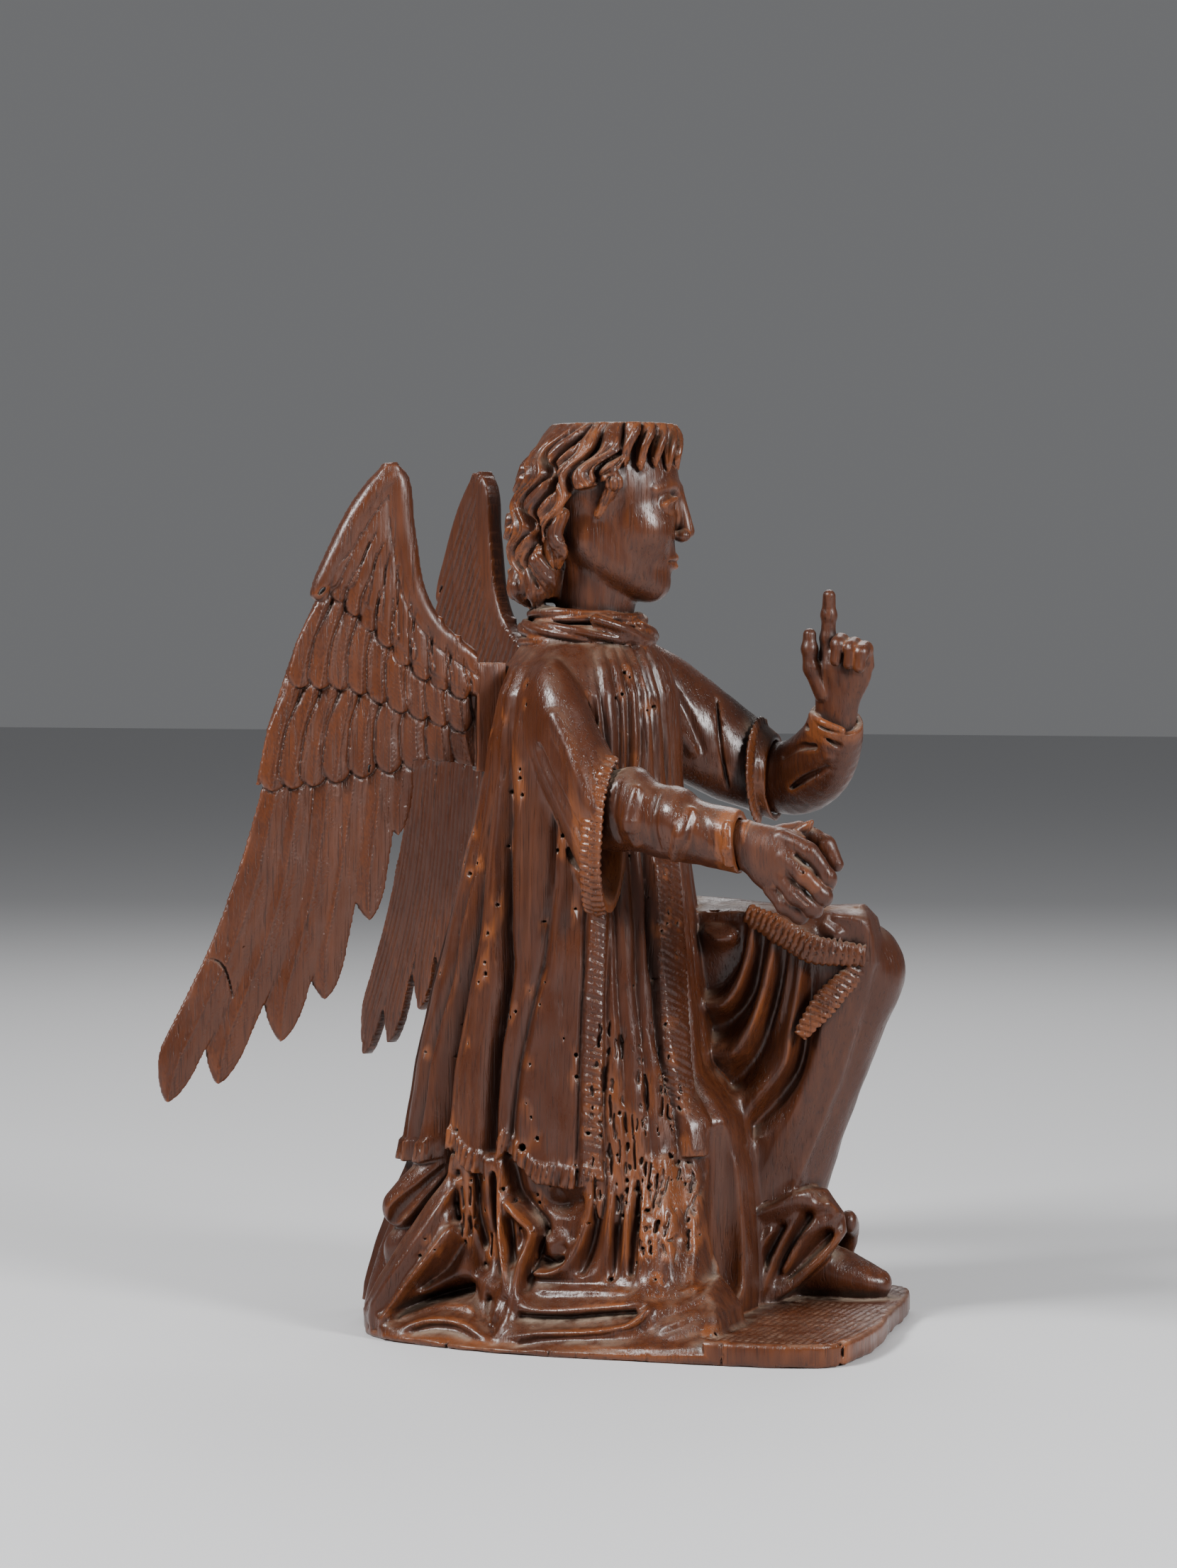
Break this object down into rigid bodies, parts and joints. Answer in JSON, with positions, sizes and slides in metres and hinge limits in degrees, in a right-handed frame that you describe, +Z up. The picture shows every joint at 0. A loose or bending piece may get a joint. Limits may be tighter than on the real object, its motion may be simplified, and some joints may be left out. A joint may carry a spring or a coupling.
{
  "type": "carved kneeling angel statue",
  "caption": "Carved oak angel kneeling on one knee on a thin plinth, wings spread behind, one hand raised and the other held out over the lap.",
  "frame": {"origin": "on the flat underside of the plinth, near its middle", "axes": "+X is where the angel faces, +Y is its left side, +Z is up"},
  "size_m": [0.4164, 0.317, 0.55],
  "materials": {
    "figure_oak": "waxed",
    "hand_oak": "waxed",
    "wing_oak": "waxed"
  },
  "bodies": {
    "root": {"figure_with_plinth": "figure_oak", "right_hand": "hand_oak", "left_forearm_and_hand": "hand_oak", "right_wing": "wing_oak", "left_wing": "wing_oak"}
  },
  "joints": []
}
